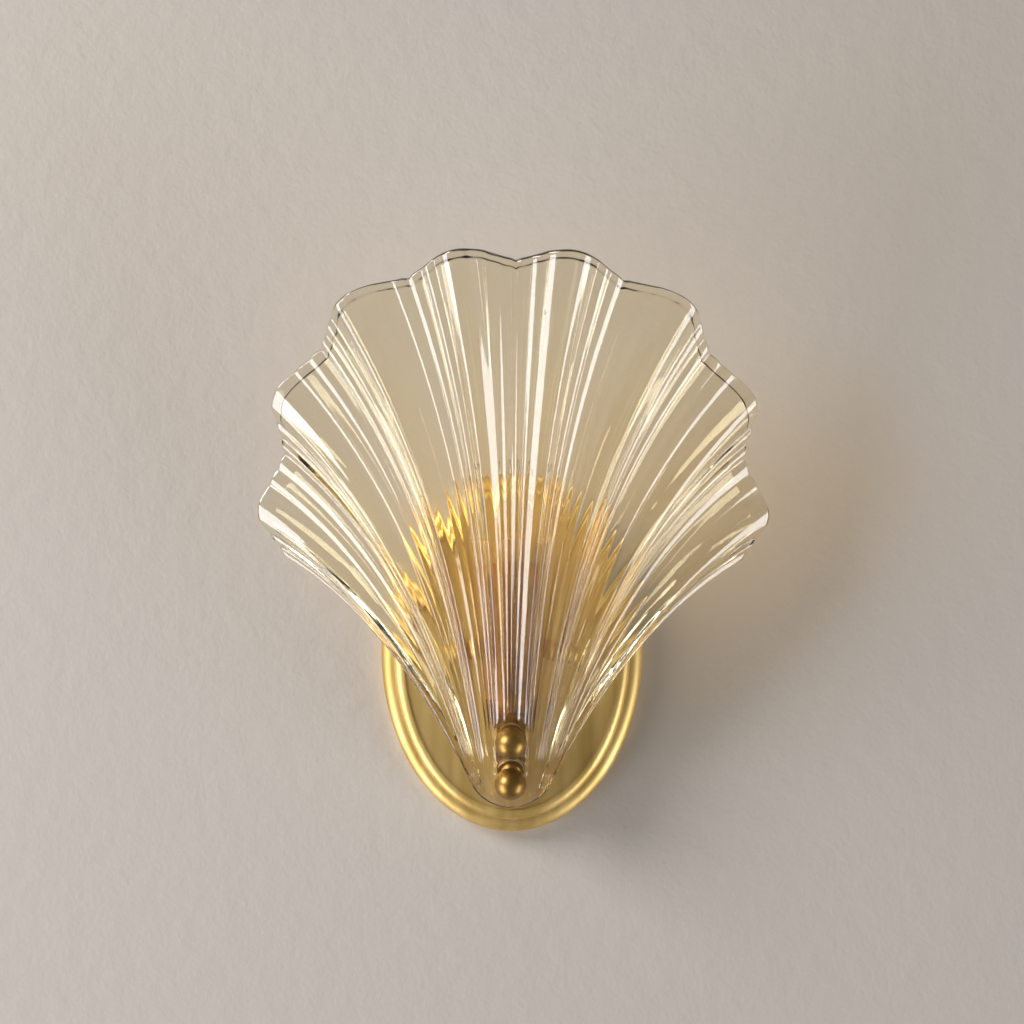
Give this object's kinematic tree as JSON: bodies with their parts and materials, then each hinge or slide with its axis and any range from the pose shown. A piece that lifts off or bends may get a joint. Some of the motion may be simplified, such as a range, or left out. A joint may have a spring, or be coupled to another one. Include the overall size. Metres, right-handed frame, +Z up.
{
  "type": "wall sconce",
  "caption": "Wall sconce with a fluted glass scallop-shell shade clamped by ball knobs to a stepped oval brass backplate, with a pin-base capsule lamp.",
  "frame": {"origin": "middle of the oval backplate's back, on the wall", "axes": "+Y into the wall, +Z up along the shell, +X to the right as seen from the room"},
  "size_m": [0.2308, 0.1049, 0.2607],
  "materials": {
    "aged_brass": "brushed and lacquered, lightly aged",
    "dark_brass": "aged, satin",
    "zinc_steel": "zinc plated",
    "green_earth_screw": "green lacquer",
    "insulator_plastic": "moulded, matte",
    "fluted_glass": "pressed, fire polished",
    "soft_gasket": "translucent silicone",
    "tan_phenolic": "moulded phenolic, glossy",
    "nickel_contact": "nickel plated",
    "lamp_glass": "clear, smooth",
    "tungsten": "drawn wire",
    "lead_sleeve_white": "matte",
    "lead_sleeve_black": "matte"
  },
  "bodies": {
    "fixture": {"backplate": "aged_brass", "wall_crossbar": "zinc_steel", "crossbar_studs": "zinc_steel", "stud_lock_nuts": "zinc_steel", "backplate_cap_nuts": "aged_brass", "ground_screw": "green_earth_screw", "support_arm": "dark_brass", "arm_lock_washer": "zinc_steel", "arm_nut": "zinc_steel", "lead_bush": "insulator_plastic", "glass_shade": "fluted_glass", "rear_gaskets": "soft_gasket", "front_gaskets": "soft_gasket", "sleeve_cap": "dark_brass", "lamp_sleeve": "dark_brass", "lamp_stem": "zinc_steel", "stem_nuts": "zinc_steel", "holder_bridge": "zinc_steel", "lampholder": "tan_phenolic", "holder_screws": "zinc_steel", "contact_clips": "nickel_contact", "left_lead": "lead_sleeve_white", "right_lead": "lead_sleeve_black", "terminal_block": "insulator_plastic", "terminal_screws": "zinc_steel"},
    "lamp": {"lamp_glass": "lamp_glass", "lamp_pins": "nickel_contact", "lamp_filament": "tungsten"},
    "upper_knob_travel_body": {"upper_knob_washer": "aged_brass"},
    "upper_knob": {"upper_ball_screw": "aged_brass"},
    "lower_knob_travel_body": {"lower_knob_washer": "aged_brass"},
    "lower_knob": {"lower_ball_screw": "aged_brass"}
  },
  "joints": [
    {"name": "lamp_pull", "type": "slide", "parent": "fixture", "child": "lamp", "axis": [0, 0, 1], "range_m": [0, 0.011]},
    {"name": "upper_knob_travel", "type": "slide", "parent": "fixture", "child": "upper_knob_travel_body", "axis": [0, -0.9765, -0.2155], "range_m": [0, 0.006]},
    {"name": "upper_knob_turn", "type": "hinge", "parent": "upper_knob_travel_body", "child": "upper_knob", "pos_m": [0, -0.04375, -0.0374], "axis": [0, -0.9765, -0.2155], "range_deg": [0, 3086]},
    {"name": "lower_knob_travel", "type": "slide", "parent": "fixture", "child": "lower_knob_travel_body", "axis": [0, -0.8508, -0.5256], "range_m": [0, 0.006]},
    {"name": "lower_knob_turn", "type": "hinge", "parent": "lower_knob_travel_body", "child": "lower_knob", "pos_m": [0, -0.03745, -0.0532], "axis": [0, -0.8508, -0.5256], "range_deg": [0, 3086]}
  ],
  "couplings": [
    {"joint": "upper_knob_turn", "follows": "upper_knob_travel", "rad_per_m": 8976},
    {"joint": "lower_knob_turn", "follows": "lower_knob_travel", "rad_per_m": 8976}
  ]
}
